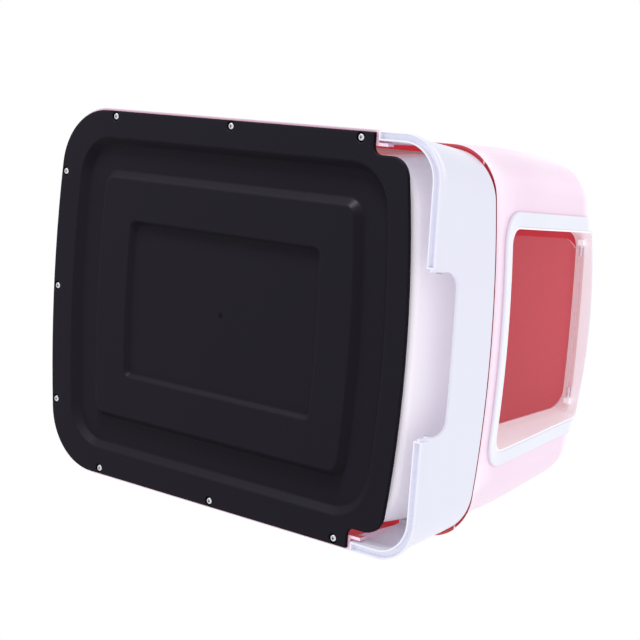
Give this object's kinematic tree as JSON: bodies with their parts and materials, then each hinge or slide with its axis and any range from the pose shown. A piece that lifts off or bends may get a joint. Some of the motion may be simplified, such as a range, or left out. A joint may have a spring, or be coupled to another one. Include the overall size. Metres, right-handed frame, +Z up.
{
  "type": "litter box",
  "caption": "Enclosed litter box with a one-piece hood, framed entrance with a clear swing flap, ribbed base plate and a drawer that pulls out at the front by a finger opening.",
  "frame": {"origin": "on the floor, in the middle of the footprint", "axes": "+Z up, the entrance and the drawer front face -Y, X is the width"},
  "size_m": [0.3832, 0.5113, 0.371],
  "materials": {
    "black_plastic": "black moulded plastic with a satin face",
    "screw_steel": "zinc-plated pan-head screws",
    "pink_plastic": "pale pink moulded plastic, smooth",
    "white_plastic": "cool white moulded plastic, smooth",
    "pale_plastic": "very pale pink moulded plastic",
    "clear_plastic": "clear, slightly milky plastic sheet",
    "pin_plastic": "white plastic pins"
  },
  "bodies": {
    "housing": {"base_plate": "black_plastic", "base_screws": "screw_steel", "hood_shell": "pink_plastic", "window_frame": "white_plastic", "door_collar": "pale_plastic", "collar_screws": "screw_steel", "flap_pin_left": "pin_plastic", "flap_pin_right": "pin_plastic"},
    "flap": {"flap_door": "clear_plastic"},
    "drawer": {"drawer_tray": "white_plastic", "drawer_front": "white_plastic"}
  },
  "joints": [
    {"name": "flap_swing", "type": "hinge", "parent": "housing", "child": "flap", "pos_m": [0, -0.1852, 0.3412], "axis": [1, 0, 0], "range_deg": [-75, 85]},
    {"name": "drawer_slide", "type": "slide", "parent": "housing", "child": "drawer", "axis": [0, -1, 0], "range_m": [0, 0.38]}
  ]
}
